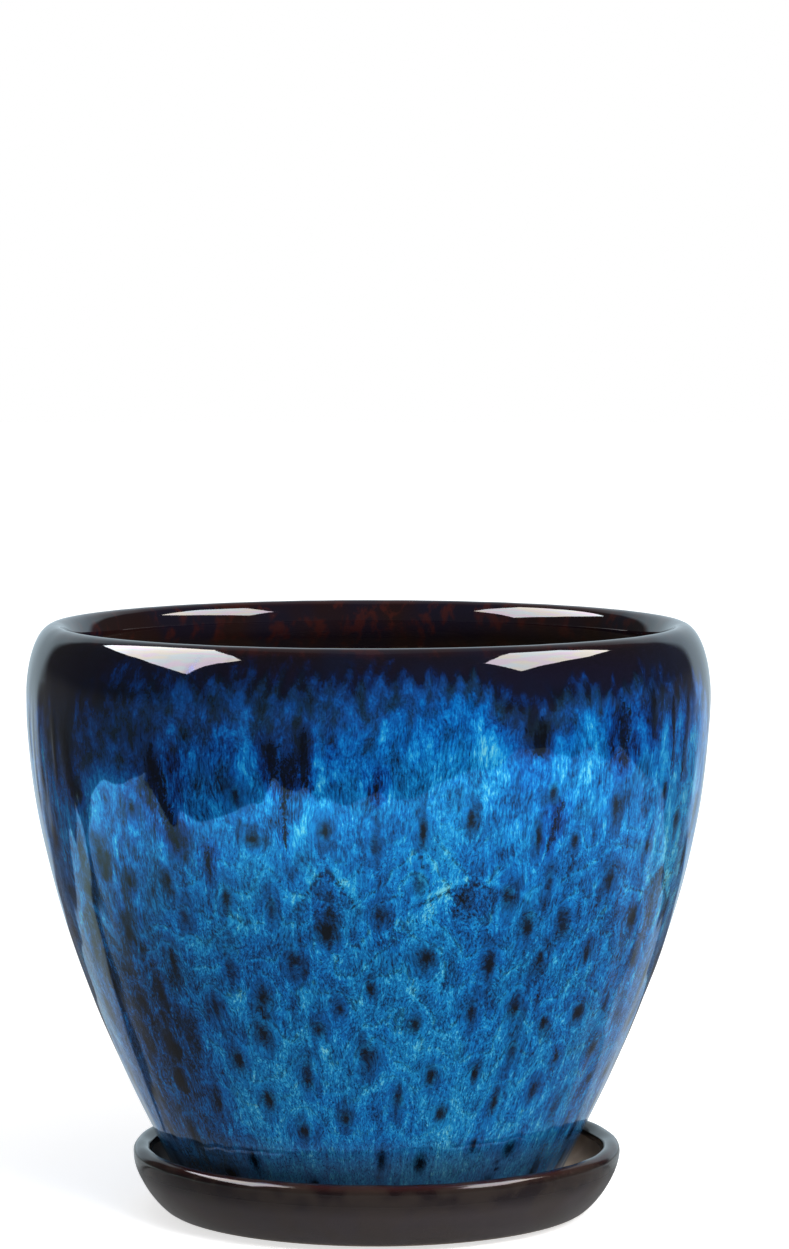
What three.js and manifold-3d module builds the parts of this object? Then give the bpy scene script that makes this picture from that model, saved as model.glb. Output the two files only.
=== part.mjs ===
// A glazed stoneware plant pot standing in its own saucer.
// Millimetres, +Z up. The origin is on the pot's axis, on the surface that the pads stand on.
import * as THREE from "three";
import { mergeGeometries, mergeVertices } from "three/addons/utils/BufferGeometryUtils.js";
import Module from "manifold-3d";

// Pot: its outline, from the foot to the rolled rim
const potHeight = 216.3; // foot to crest
const shoulderRadius = 130; // the widest place
const shoulderDrop = 25.4; // from the crest down to the widest place
const crestInset = 10.9; // from the widest place in to the highest line of the rim
const throatInset = 17; // from the widest place in to the narrowest place of the mouth
const throatDrop = 8.5; // from the crest down to the throat
const footRadius = 70.7;
const footFlare = 20.3; // the wall's first handle: how far it leans out
const footRise = 39.8; // and how far it rises
const bellyLength = 78.2; // the handle that brings the wall upright at the shoulder
const shoulderLength = 12; // the handle above the shoulder
const crestLength = 6.9; // the handle outside the crest

// Pot: its body
const wallThickness = 9;
const underRimLength = 8; // both handles of the inner curve below the throat
const floorThickness = 8;
const floorFillet = 14; // height of the inside corner between floor and wall
const footDepth = 5; // hollow under the floor, inside the foot ring
const footWidth = 10.5; // the foot ring's flat
const footEdge = 1.5; // rounding of the foot's outer edge
const drainRadius = 12;
const drainEdge = 1; // softened edges of the drain hole
const notchCount = 3; // ways out for the water, through the foot ring
const notchRadius = 6;
const notchHeight = 3.6;

// Saucer
const saucerHeight = 24.7;
const saucerFloor = 7; // thickness under the pot's foot
const lipThickness = 7;
const lipCrown = 3.6; // height of the lip's rounded top
const lipGap = 3.6; // least gap between the pot's wall and the lip
const saucerShift = 3; // how far the saucer's centre stands from the pot's
const floorMargin = 1.8; // least flat floor outside the pot's foot
const saucerFlare = 12.3; // how far the lip reaches outside the base
const baseLean = 6.6; // the outer wall's first handle: how far it leans out
const baseRise = 4.8; // and how far it rises
const upperLength = 6; // the handle that brings the outer wall upright
const coveLength = 8; // the handle down the inside of the lip
const coveReach = 4; // the handle outwards from the flat floor
const padInset = 20; // from the base's edge in to the circle that the pads stand on
const ringMargin = 1.2; // the flat of the saucer's foot ring inside the pads
const ringDepth = 1.5; // hollow inside the saucer's foot ring

// Pads under the saucer
const padCount = 4;
const padRadius = 7;
const padHeight = 2;
const padEdge = 0.4;

// Screen over the drain hole
const screenLap = 13; // how far it reaches outside the hole
const screenThickness = 1.2;
const meshPitch = 4.5;
const meshGap = 3.3;
const screenRim = 1.6; // the solid edge outside the mesh

// Clearances
const seatGap = 0.1; // between pieces that rest on one another
const cutOver = 1; // how far a cut runs past the faces that it opens

// Facets
const turnSteps = 64;
const padSteps = 24;
const wallSteps = 12;
const bendSteps = 6;
const edgeSteps = 4;

const wasm = await Module();
wasm.setup();

const point = (radius, height) => new THREE.Vector2(radius, height);

// A Bezier curve through two ends with a handle for each, as a function from 0 to 1
function bend(start, startHandle, endHandle, end) {
  const curve = new THREE.CubicBezierCurve(start, startHandle, endHandle, end);
  return (t) => curve.getPoint(t);
}

// Evenly stepped points of a line that is a function, from parameter a to parameter b
function along(pointAt, steps, a = 0, b = 1) {
  return Array.from({ length: steps + 1 }, (_, i) => pointAt(a + ((b - a) * i) / steps));
}

// A quarter of an ellipse about a centre, from one end of its axes to the other
function quarter(centre, start, end, steps = edgeSteps) {
  return along((t) => {
    const angle = (t * Math.PI) / 2;
    return centre
      .clone()
      .addScaledVector(start.clone().sub(centre), Math.cos(angle))
      .addScaledVector(end.clone().sub(centre), Math.sin(angle));
  }, steps);
}

// The parameter at which a rising line reaches a height
function parameterAt(pointAt, height) {
  let [low, high] = [0, 1];
  for (let i = 0; i < 40; i++) {
    const middle = (low + high) / 2;
    if (pointAt(middle).y < height) low = middle;
    else high = middle;
  }
  return (low + high) / 2;
}

// A closed outline, or one that starts and ends on the axis, turned about the Z axis
function turned(outline, steps = turnSteps) {
  const apart = outline.filter((p, i) => i === 0 || p.distanceTo(outline[i - 1]) > 1e-6);
  return new THREE.LatheGeometry(apart, steps).rotateX(Math.PI / 2);
}

function solidOf(geometry) {
  const bare = geometry.clone();
  bare.deleteAttribute("normal");
  bare.deleteAttribute("uv");
  const merged = mergeVertices(bare);
  const vertProperties = merged.attributes.position.array;
  const triVerts = new Uint32Array(merged.index.array);
  return new wasm.Manifold(new wasm.Mesh({ numProp: 3, vertProperties, triVerts }));
}

function geometryOf(solid) {
  const { vertProperties, triVerts } = solid.getMesh();
  const geometry = new THREE.BufferGeometry();
  geometry.setAttribute("position", new THREE.BufferAttribute(vertProperties, 3));
  geometry.setIndex(new THREE.BufferAttribute(triVerts, 1));
  geometry.computeVertexNormals();
  return geometry;
}

// The pot's outer wall, measured from its foot, and the inner wall one thickness inside it
const outerWall = new THREE.CubicBezierCurve(
  point(footRadius, 0),
  point(footRadius + footFlare, footRise),
  point(shoulderRadius, potHeight - shoulderDrop - bellyLength),
  point(shoulderRadius, potHeight - shoulderDrop),
);
const outerWallAt = (t) => outerWall.getPoint(t);
const outerRadiusAt = (height) => outerWallAt(parameterAt(outerWallAt, height)).x;

function innerWallAt(t) {
  const { x, y } = outerWall.getTangent(t);
  return outerWallAt(t).add(point(-y, x).multiplyScalar(wallThickness));
}

const hollowRadius = footRadius - footEdge - footWidth;
const insideFloor = footDepth + floorThickness;
const screenRadius = drainRadius + screenLap;

// Under the pot, from the drain hole out to the foot's outer edge
function potUnderside() {
  const edgeTop = outerWallAt(parameterAt(outerWallAt, footEdge));
  const edgeCentre = point(footRadius - footEdge, edgeTop.y);
  return [
    point(drainRadius, footDepth + drainEdge),
    point(drainRadius + drainEdge, footDepth),
    point(hollowRadius, footDepth),
    point(hollowRadius, 0),
    ...quarter(edgeCentre, point(edgeCentre.x, 0), edgeTop),
  ];
}

// The rim, from the widest place over the crest to the inner wall's top
function potRim() {
  const shoulder = outerWallAt(1);
  const innerShoulder = innerWallAt(1);
  const crest = point(shoulderRadius - crestInset, potHeight);
  const throat = point(shoulderRadius - throatInset, potHeight - throatDrop);
  const outside = bend(
    shoulder,
    point(shoulder.x, shoulder.y + shoulderLength),
    point(crest.x + crestLength, crest.y),
    crest,
  );
  const underside = bend(
    throat,
    point(throat.x, throat.y - underRimLength),
    point(innerShoulder.x, innerShoulder.y + underRimLength),
    innerShoulder,
  );
  return [
    ...along(outside, bendSteps + 2),
    ...quarter(point(crest.x, throat.y), crest, throat, bendSteps),
    ...along(underside, bendSteps),
  ];
}

// Inside the pot, from the inner wall's top down to the floor and the drain hole
function potInside() {
  const filletTop = parameterAt(innerWallAt, insideFloor + floorFillet);
  const filletEnd = innerWallAt(filletTop);
  const { x, y } = outerWall.getTangent(filletTop);
  const cornerRadius = filletEnd.x - (floorFillet * x) / y;
  const corner = new THREE.QuadraticBezierCurve(
    filletEnd,
    point(cornerRadius, insideFloor),
    point(cornerRadius - floorFillet, insideFloor),
  );
  return [
    ...along(innerWallAt, wallSteps, 1, filletTop),
    ...corner.getPoints(bendSteps - 1),
    point(screenRadius + cutOver, insideFloor), // the bare floor ends here, at the screen's edge
    point(drainRadius + drainEdge, insideFloor),
    point(drainRadius, insideFloor - drainEdge),
    point(drainRadius, footDepth + drainEdge),
  ];
}

// The pot, with the notches cut through its foot ring
function pot() {
  const wall = along(outerWallAt, wallSteps, parameterAt(outerWallAt, footEdge), 1);
  let solid = solidOf(turned([...potUnderside(), ...wall, ...potRim(), ...potInside()]));
  const cutStart = hollowRadius - cutOver;
  const cutEnd = outerRadiusAt(notchHeight) + cutOver;
  for (let i = 0; i < notchCount; i++) {
    const cutter = new THREE.CylinderGeometry(notchRadius, notchRadius, cutEnd - cutStart, 20)
      .rotateZ(-Math.PI / 2)
      .translate((cutStart + cutEnd) / 2, 0, notchHeight - notchRadius)
      .rotateZ((i * 2 * Math.PI) / notchCount);
    solid = solid.subtract(solidOf(cutter));
  }
  return geometryOf(solid);
}

// The saucer's lip clears the pot's wall on the side where the two are closest
const lipInner = outerRadiusAt(saucerHeight - saucerFloor) + saucerShift + lipGap;
const lipOuter = lipInner + lipThickness;
const baseRadius = lipOuter - saucerFlare;
const padCircle = baseRadius - padInset;
const ringWidth = padInset + padRadius + ringMargin;

function saucerOutline() {
  const lipZ = saucerHeight - lipCrown;
  const lipCentre = point((lipInner + lipOuter) / 2, lipZ);
  const lipTop = point(lipCentre.x, saucerHeight);
  const floorEdge = footRadius + saucerShift + floorMargin;
  const outside = bend(
    point(baseRadius, 0),
    point(baseRadius + baseLean, baseRise),
    point(lipOuter, lipZ - upperLength),
    point(lipOuter, lipZ),
  );
  const inside = bend(
    point(lipInner, lipZ),
    point(lipInner, lipZ - coveLength),
    point(floorEdge + coveReach, saucerFloor),
    point(floorEdge, saucerFloor),
  );
  return [
    point(0, ringDepth),
    point(baseRadius - ringWidth - ringDepth, ringDepth),
    point(baseRadius - ringWidth, 0),
    ...along(outside, bendSteps + 1),
    ...quarter(lipCentre, outside(1), lipTop),
    ...quarter(lipCentre, lipTop, inside(0)),
    ...along(inside, bendSteps),
    point(0, saucerFloor),
  ];
}

function padOutline() {
  return [
    point(0, 0),
    point(padRadius - padEdge, 0),
    point(padRadius, padEdge),
    point(padRadius, padHeight - padEdge),
    point(padRadius - padEdge, padHeight),
    point(0, padHeight),
  ];
}

// A round of plastic netting, with every square gap that lies inside its rim
function drainScreen() {
  const disc = new THREE.CylinderGeometry(screenRadius, screenRadius, screenThickness, turnSteps)
    .rotateX(Math.PI / 2)
    .translate(0, 0, screenThickness / 2);
  const count = Math.floor(screenRadius / meshPitch);
  const gaps = [];
  for (let i = -count; i <= count; i++) {
    for (let j = -count; j <= count; j++) {
      const [x, y] = [i * meshPitch, j * meshPitch];
      const corner = Math.hypot(Math.abs(x) + meshGap / 2, Math.abs(y) + meshGap / 2);
      if (corner > screenRadius - screenRim) continue;
      const gap = new THREE.BoxGeometry(meshGap, meshGap, screenThickness + 2 * cutOver);
      gaps.push(gap.translate(x, y, screenThickness / 2));
    }
  }
  return geometryOf(solidOf(disc).subtract(solidOf(mergeGeometries(gaps))));
}

const blueGlaze = new THREE.MeshStandardMaterial({ color: 0x1b6aa6, roughness: 0.12, metalness: 0 });
const brownGlaze = new THREE.MeshStandardMaterial({ color: 0x35292a, roughness: 0.2, metalness: 0 });
const felt = new THREE.MeshStandardMaterial({ color: 0x2b2623, roughness: 0.95, metalness: 0 });
const netting = new THREE.MeshStandardMaterial({ color: 0x1c1d1c, roughness: 0.55, metalness: 0 });

function addPiece(group, name, geometry, material, x = 0, y = 0, z = 0) {
  const mesh = new THREE.Mesh(geometry, material);
  mesh.name = name;
  mesh.position.set(x, y, z);
  group.add(mesh);
}

// The saucer with its pads, off the pot's axis
const saucerZ = padHeight + seatGap;
const saucerGroup = new THREE.Group();
saucerGroup.position.x = saucerShift;
addPiece(saucerGroup, "saucer", turned(saucerOutline()), brownGlaze, 0, 0, saucerZ);
for (let i = 0; i < padCount; i++) {
  const angle = ((i + 0.5) * 2 * Math.PI) / padCount;
  const [x, y] = [padCircle * Math.cos(angle), padCircle * Math.sin(angle)];
  addPiece(saucerGroup, `felt_pad_${i + 1}`, turned(padOutline(), padSteps), felt, x, y);
}

// The pot on the saucer's floor, with the screen lying over its drain hole
const potGroup = new THREE.Group();
potGroup.position.z = saucerZ + saucerFloor + seatGap;
addPiece(potGroup, "pot", pot(), blueGlaze);
addPiece(potGroup, "drain_screen", drainScreen(), netting, 0, 0, insideFloor + seatGap);

const plantPot = new THREE.Group();
plantPot.add(saucerGroup, potGroup);

export default plantPot;
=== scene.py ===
import math

import bpy
import numpy as np
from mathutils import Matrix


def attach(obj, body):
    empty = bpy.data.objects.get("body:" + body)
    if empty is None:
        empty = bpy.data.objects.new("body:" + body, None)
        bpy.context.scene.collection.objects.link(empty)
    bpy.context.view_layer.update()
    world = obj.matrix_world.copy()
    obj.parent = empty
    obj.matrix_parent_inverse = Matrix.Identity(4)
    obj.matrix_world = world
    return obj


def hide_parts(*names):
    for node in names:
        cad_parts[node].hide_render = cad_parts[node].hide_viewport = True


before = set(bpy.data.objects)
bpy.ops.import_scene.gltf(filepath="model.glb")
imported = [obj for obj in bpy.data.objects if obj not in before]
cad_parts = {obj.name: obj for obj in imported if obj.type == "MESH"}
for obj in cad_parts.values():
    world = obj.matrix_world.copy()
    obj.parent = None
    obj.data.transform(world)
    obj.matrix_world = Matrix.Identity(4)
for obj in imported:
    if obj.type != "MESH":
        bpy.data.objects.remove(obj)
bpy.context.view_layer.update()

mm = 0.001
scene = bpy.context.scene


def tone(red, green, blue):
    # a screen colour, 0 to 255, as the linear colour that a shader wants
    levels = np.array([red, green, blue]) / 255
    linear = np.where(levels <= 0.04045, levels / 12.92, ((levels + 0.055) / 1.055) ** 2.4)
    return (*linear.tolist(), 1.0)


# small tools for shader trees. A field is what a node puts out, such as a value that changes over a
# surface. Sums, differences, products and quotients of fields and numbers are maths nodes.


class Field:
    def __init__(self, socket):
        self.socket = socket
        self.tree = socket.id_data

    def __add__(self, other):
        return maths("ADD", self, other)

    def __sub__(self, other):
        return maths("SUBTRACT", self, other)

    def __rsub__(self, other):
        return maths("SUBTRACT", other, self)

    def __mul__(self, other):
        return maths("MULTIPLY", self, other)

    def __truediv__(self, other):
        return maths("DIVIDE", self, other)

    def __rtruediv__(self, other):
        return maths("DIVIDE", other, self)

    def __abs__(self):
        return maths("ABSOLUTE", self)


def addNode(tree, kind, inputs=None, **settings):
    node = tree.nodes.new(kind)
    for name, value in settings.items():
        setattr(node, name, value)
    for key, value in (inputs or {}).items():
        if isinstance(value, Field):
            tree.links.new(value.socket, node.inputs[key])
        else:
            node.inputs[key].default_value = value
    return node


def newField(tree, kind, inputs=None, output=0, **settings):
    return Field(addNode(tree, kind, inputs, **settings).outputs[output])


def treeOf(*values):
    return next(value.tree for value in values if isinstance(value, Field))


def maths(operation, *values):
    return newField(treeOf(*values), "ShaderNodeMath", dict(enumerate(values)), operation=operation)


def larger(one, other):
    return maths("MAXIMUM", one, other)


def lengthOf(x, y):
    return maths("SQRT", x * x + y * y)


def vectors(operation, *values):
    return newField(treeOf(*values), "ShaderNodeVectorMath", dict(enumerate(values)), operation=operation)


def partsOf(vector):
    return [Field(socket) for socket in addNode(vector.tree, "ShaderNodeSeparateXYZ", {0: vector}).outputs]


def fade(value, low, high, start=0.0, end=1.0):
    # start below low, end above high, and an easy curve between them
    inputs = {"Value": value, "From Min": low, "From Max": high, "To Min": start, "To Max": end}
    return newField(value.tree, "ShaderNodeMapRange", inputs, interpolation_type="SMOOTHSTEP")


def fall(value, low, high):
    return fade(value, low, high, 1.0, 0.0)


def noise(vector, detail=2.0, roughness=0.5, scale=1.0, output="Fac"):
    inputs = {"Vector": vector, "Scale": scale, "Detail": detail, "Roughness": roughness}
    return newField(vector.tree, "ShaderNodeTexNoise", inputs, output)


def swayed(value, *parts):
    # each part: a noise, and how far the value goes with it
    for part, gain in parts:
        value = value + (part - 0.5) * gain
    return value


def blend(factor, under, over):
    inputs = {0: factor, 6: under, 7: over}
    return newField(treeOf(factor, under, over), "ShaderNodeMix", inputs, 2, data_type="RGBA")


def grey(value):
    return (value, value, value, 1)


def ramp(value, stops):
    # stops: positions from 0 to 1, each with its colour
    node = addNode(value.tree, "ShaderNodeValToRGB", {"Fac": value})
    elements = node.color_ramp.elements
    elements[0].position, elements[0].color = stops[0]
    elements[1].position, elements[1].color = stops[-1]
    for position, colour in stops[1:-1]:
        elements.new(position).color = colour
    return Field(node.outputs[0])


def toned(stops):
    return [(position, tone(*colour)) for position, colour in stops]


def bump(height, distance):
    return newField(height.tree, "ShaderNodeBump", {"Height": height, "Distance": distance}, "Normal")


def newMaterial(name):
    material = bpy.data.materials.new(name)
    material.use_nodes = True
    tree = material.node_tree
    return material, tree, tree.nodes["Principled BSDF"]


shaderSockets = {
    "colour": "Base Color", "roughness": "Roughness", "metal": "Metallic", "normal": "Normal",
    "specular": "Specular IOR Level", "sheen": "Sheen Weight", "sheenRoughness": "Sheen Roughness",
}


def feed(shader, **sockets):
    for name, value in sockets.items():
        socket = shader.inputs[shaderSockets[name]]
        if isinstance(value, Field):
            value.tree.links.new(value.socket, socket)
        else:
            socket.default_value = value


def markOf(tree, label):
    return newField(tree, "ShaderNodeAttribute", output="Vector", attribute_name=label)


def placeOf(tree, kind="Object"):
    return newField(tree, "ShaderNodeTexCoord", output=kind)


def makeFineGrain():
    # grain of clay, felt or plastic: a mask of specks and a height, both from two sizes of noise
    group = bpy.data.node_groups.new("fineGrain", "ShaderNodeTree")
    face = group.interface
    face.new_socket("Vector", in_out="INPUT", socket_type="NodeSocketVector")
    for name in ("Size", "Coverage"):
        face.new_socket(name, in_out="INPUT", socket_type="NodeSocketFloat")
    for name in ("Specks", "Height"):
        face.new_socket(name, in_out="OUTPUT", socket_type="NodeSocketFloat")
    vector, size, coverage = (Field(socket) for socket in group.nodes.new("NodeGroupInput").outputs[:3])
    spot = newField(group, "ShaderNodeVectorMath", {0: vector, "Scale": 1.0 / size}, operation="SCALE")
    coarse = noise(spot, detail=1.0, roughness=0.6)
    fine = noise(spot, detail=3.0, roughness=0.7, scale=2.7)
    edge = 0.75 - coverage * 0.5
    end = group.nodes.new("NodeGroupOutput").inputs
    group.links.new(fade(fine, edge, edge + 0.08).socket, end["Specks"])
    group.links.new((coarse * 0.6 + fine * 0.4).socket, end["Height"])
    return group


fineGrain = makeFineGrain()


def grain(vector, size, coverage):
    inputs = {"Vector": vector, "Size": size, "Coverage": coverage}
    node = addNode(vector.tree, "ShaderNodeGroup", inputs, node_tree=fineGrain)
    return Field(node.outputs["Specks"]), Field(node.outputs["Height"])


def bareClay(specks):
    return blend(specks * 0.6, tone(146, 128, 108), tone(96, 80, 66))


print("stage: shader tools ready")

# small tools for turned shapes


def bezier(a, b, c, d):
    # a cubic Bezier curve: its four points weighted by the Bernstein polynomials of t
    t = np.linspace(0, 1, 400)[:, None]
    a, b, c, d = (np.array(p, float) for p in (a, b, c, d))
    return (1 - t) ** 3 * a + 3 * (1 - t) ** 2 * t * b + 3 * (1 - t) * t**2 * c + t**3 * d


def quarter(centre, start, end):
    # a quarter of an ellipse: centre + cos(t) * (start - centre) + sin(t) * (end - centre)
    t = np.linspace(0, math.pi / 2, 60)[:, None]
    centre, start, end = (np.array(p, float) for p in (centre, start, end))
    return centre + np.cos(t) * (start - centre) + np.sin(t) * (end - centre)


def reachOf(points):
    # length along a line of points, from its first point
    return np.r_[0, np.cumsum(np.hypot(*np.diff(points, axis=0).T))]


def spaced(points, count):
    # the same line with its points at even steps of its length
    reach = reachOf(points)
    at = np.linspace(0, reach[-1], count)
    return np.column_stack([np.interp(at, reach, points[:, k]) for k in (0, 1)])


def line(count, start, end):
    return spaced(np.array([start, end], float), count)


def arc(count, centre, start, end):
    return spaced(quarter(centre, start, end), count)


def joined(*lines):
    points = np.vstack(lines)
    apart = np.r_[True, np.hypot(*np.diff(points, axis=0).T) > 1e-4]
    return points[apart]


def outwardOf(points):
    # unit normals of a profile whose outside lies to the right of its travel
    along = np.gradient(points, axis=0)
    along /= np.hypot(*along.T)[:, None]
    return np.column_stack([along[:, 1], -along[:, 0]])


def columnAngles(count):
    return np.linspace(0, 2 * math.pi, count, endpoint=False)


def turnedGrids(outline, crestRow, columns):
    # the turn of each column, and grids of rows along the profile by columns: the radius, the height, and
    # the depth in mm along the profile from the crest, down the outside
    reach = reachOf(outline)
    radius, height = (np.repeat(outline[:, k : k + 1], columns, axis=1) for k in (0, 1))
    depth = np.broadcast_to((reach[crestRow] - reach)[:, None], radius.shape)
    return columnAngles(columns)[None, :], radius, height, depth


def linked(name, data):
    thing = bpy.data.objects.new(name, data)
    scene.collection.objects.link(thing)
    return thing


def newPiece(name, points, faces, smooth=True):
    mesh = bpy.data.meshes.new(name)
    mesh.from_pydata(points, [], faces)
    if smooth:
        mesh.polygons.foreach_set("use_smooth", np.ones(len(faces), bool))
    mesh.update()
    return linked(name, mesh)


def quadsBetween(index):
    # the faces between each row of a grid of point numbers and the next, where each row is a loop
    beside = np.roll(index, -1, axis=1)
    return np.stack([index[:-1], beside[:-1], beside[1:], index[1:]], axis=2).reshape(-1, 4)


def turnedPiece(name, radius, height, centre=(0.0, 0.0), closedLoop=False, marks=None):
    # radius and height in mm as grids of rows along the profile by columns round the axis:
    # x = radius * cos(angle), y = radius * sin(angle), z = height.
    # A closed loop joins its last row to its first, otherwise both end rows are points on the axis.
    rows, columns = radius.shape
    angle = columnAngles(columns)[None, :]
    grid = np.stack([radius * np.cos(angle) + centre[0], radius * np.sin(angle) + centre[1], height], axis=2)
    index = np.arange(rows * columns).reshape(rows, columns)
    if closedLoop:
        keep = slice(0, rows * columns)
        faces = quadsBetween(np.vstack([index, index[:1]])).tolist()
    else:
        # one point is left of the first row, and one of the last
        keep = slice(columns - 1, (rows - 1) * columns + 1)
        index = index - keep.start
        beside = np.roll(index, -1, axis=1)
        first = np.column_stack([np.full(columns, index[0, -1]), beside[1], index[1]])
        last = np.column_stack([index[-2], beside[-2], np.full(columns, index[-1, 0])])
        faces = quadsBetween(index[1:-1]).tolist() + first.tolist() + last.tolist()
    piece = newPiece(name, (grid.reshape(-1, 3)[keep] * mm).tolist(), faces)
    for label, values in (marks or {}).items():
        data = np.ascontiguousarray(np.broadcast_to(values, grid.shape).reshape(-1, 3)[keep], np.float32)
        piece.data.attributes.new(label, "FLOAT_VECTOR", "POINT").data.foreach_set("vector", data.ravel())
    return piece


def settle(piece, material, body, slot, *nodes):
    piece.data.materials.append(material)
    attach(piece, body)
    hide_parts(*nodes)


# the pot

potShape = {
    "footZ": 9.2,  # the foot stands on the saucer's floor
    "height": 216.3, "shoulderRadius": 130.0, "shoulderDrop": 25.4, "crestInset": 10.9,
    "throatInset": 17.0, "throatDrop": 8.5, "footRadius": 70.7, "footFlare": 20.3, "footRise": 39.8,
    "bellyLength": 78.2, "shoulderLength": 12.0, "crestLength": 6.9, "wall": 9.0, "underRim": 8.0,
    "hollow": 5.0, "floor": 13.0, "fillet": 14.0, "footWidth": 10.5, "footEdge": 1.5,
    "drainRadius": 12.0, "drainEdge": 1.0,
    "drainStep": 1.5,  # height of the faces that close the profile in the drain hole
    "ringCove": 1.5,  # rounding where the foot ring meets the floor
    "ringEdge": 0.8,  # rounding of the foot ring's inner edge
    "notches": 3, "notchRadius": 6.0, "notchHeight": 3.6,
    "ringClear": 0.1,  # mm inside the foot ring that a notch still cuts
    "wallRows": 68, "rimRows": 20, "columns": 576,
    # the glaze pattern is laid out on a tube of this radius and length
    "patternRadius": 110.0, "patternLength": 300.0,
    "waveHeight": 0.06,  # how far the run glaze swells and thins
    "waves": 40, "runProud": 0.2, "streakThin": 0.08,
}

glazeRun = {
    # degrees from the front towards the right: where the dark rim ends in mm down from the crest, and
    # over how many mm it then clears to blue
    "rimEnd": {
        -180: (18, 14), -165: (24, 20), -150: (17, 10), -138: (22, 16), -125: (28, 8), -112: (20, 18),
        -100: (24, 12), -88: (22, 20), -76: (30, 16), -64: (38, 20), -52: (31, 32), -43: (23, 42),
        -35: (20, 24), -28: (17, 20), -22: (17, 20), -16: (17, 22), -10: (18, 24), -5: (16, 19),
        1: (16.5, 18), 6: (15, 12), 12: (15, 10), 18: (15, 8), 21: (19, 12), 24: (26, 16), 27: (30, 16),
        30: (25, 16), 34: (19, 14), 41: (22, 6), 46: (21, 6), 50: (18, 9), 55: (20, 16), 62: (25, 13),
        72: (22, 12), 84: (27, 18), 96: (19, 8), 108: (17, 14), 120: (25, 10), 132: (21, 20), 146: (16, 9),
        158: (24, 14), 170: (27, 8),
    },
    # black runs: degrees, top and bottom in mm from the crest, half width in mm, lean in degrees
    "runs": [
        (-15.4, 36, 53, 3.4, 0.6), (-12.6, 41, 59, 3.6, 0.0), (-9.9, 33, 56, 2.6, 0.3),
        (-13.2, 54, 76, 1.2, 0.0), (-37.5, 40, 80, 3.3, 5.0), (1.7, 47, 60, 1.3, 0.0),
        (28.4, 31, 44, 4.6, 0.0), (45.4, 27, 53, 3.4, 0.8), (53.0, 22, 44, 2.0, 0.5),
        (59.5, 26, 58, 1.3, 1.0), (-59.5, 34, 68, 4.4, 2.5), (-27.0, 76, 92, 1.3, 0.0),
        (33.0, 60, 80, 1.4, -2.0),
    ],
    "moreRuns": 34,
    "runLengths": (14, 44),
    "rimBlotches": 1.9,  # mm by which blotches break the dark rim's end
    "rimWaves": ((31, 0.8), (53, 0.5), (87, 0.2)),  # waves round the rim's end, and their mm
    "clearing": 18,
    # pale streaks: degrees, top and bottom in mm from the crest, half width in mm, lean in degrees; the wide
    # one at -52 degrees is a pale patch of painted reflection of the table
    "streaksAndReflection": [
        (-20.5, 26, 62, 2.6, 3.5), (-7.6, 34, 66, 1.8, 0.5), (10.3, 76, 112, 6.0, 0.0),
        (21.0, 38, 60, 5.5, 0.0), (32.0, 30, 62, 3.0, 0.0), (57.0, 36, 96, 2.2, 1.0),
        (-52.0, 50, 84, 15.0, 0.0), (-11.0, 56, 74, 7.0, 0.0), (38.5, 28, 60, 5.5, 0.0),
    ],
    "moreStreaks": 30,
    "streakLengths": (26, 60),
    "seededPlaces": (64, 300),  # degrees between which runs and streaks are seeded, at least runGap apart
    "runGap": 3,
    "runTops": (24, 40),
    "runSoftness": {"black": 1.0, "shade": 3.0, "pale": 1.3, "thinAndShade": 1.0},
    "sideStreaks": [(65.0, 28, 124, 8.0, 3.0), (60.0, 30, 90, 3.0, 2.0), (71.0, 26, 150, 6.0, 3.0)],
    # places where the blue is darker: where the glaze ran thin, and the one at -49 degrees down the left side
    # partly darker glaze and partly painted shade on the side away from the main lamp; degrees, top, bottom,
    # half width, lean, strength
    "thinAndShadePlaces": [
        (-49, 88, 300, 22.0, 0.0, 1.0), (-26, 26, 64, 14.0, 0.0, 0.5), (118, 120, 300, 20.0, 0.0, 0.6),
        (-150, 100, 280, 24.0, 0.0, 0.6),
    ],
    # dark eyes: degrees, mm down from the crest, half width and half height in mm
    "eyes": [
        (-12.9, 118.5, 2.6, 4.3), (-19.7, 133.2, 2.2, 4.2), (22.4, 120.7, 2.4, 4.6), (6.8, 175.5, 1.9, 5.4),
        (-14.9, 191.0, 2.7, 3.6), (-22.3, 177.5, 2.3, 4.4), (45.7, 91.3, 2.6, 4.4), (16.9, 64.8, 1.6, 3.4),
        (2.3, 99.7, 2.2, 3.2), (-25.5, 122.3, 1.9, 4.6), (32.9, 120.3, 1.9, 3.4), (20.2, 140.7, 1.9, 4.4),
        (9.3, 144.0, 2.1, 3.0), (-9.1, 146.0, 2.0, 3.4), (0.6, 129.2, 1.6, 2.8), (31.0, 158.0, 2.0, 4.4),
        (16.9, 183.0, 2.0, 3.4), (-5.1, 137.4, 1.5, 2.6), (37.0, 147.0, 1.8, 3.0), (-6.9, 108.0, 2.6, 4.0),
        (-38.0, 150.0, 2.6, 5.0), (-33.0, 104.0, 2.2, 4.2), (40.0, 176.0, 2.4, 4.0), (-36.0, 180.0, 2.4, 5.0),
    ],
    "eyeGap": 19.0,  # least distance between eyes
    "eyeReach": 3.2,  # in eye sizes, how far its rings reach
    "eyeSize": 1.25,
    "eyeTries": 9000,
    "wallLength": 226.0,  # mm down the wall in which eyes lie
    # large soft shadows under arches: degrees, mm down, half width, half height
    "arches": [
        (-6.7, 97, 5.0, 15.0), (18.0, 96, 9.0, 8.0), (-60.0, 120, 7.0, 16.0), (62.0, 104, 6.0, 14.0),
        (100.0, 112, 6.5, 16.0), (142.0, 96, 6.0, 14.0), (-96.0, 100, 6.0, 15.0), (-140.0, 114, 8.0, 15.0),
    ],
    "archReach": 3.2,
    "archClear": (6, 14),  # degrees and mm round an arch's middle that seeded eyes keep off
    "sheen": 0.5,
    "seed": 11,
}


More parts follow.
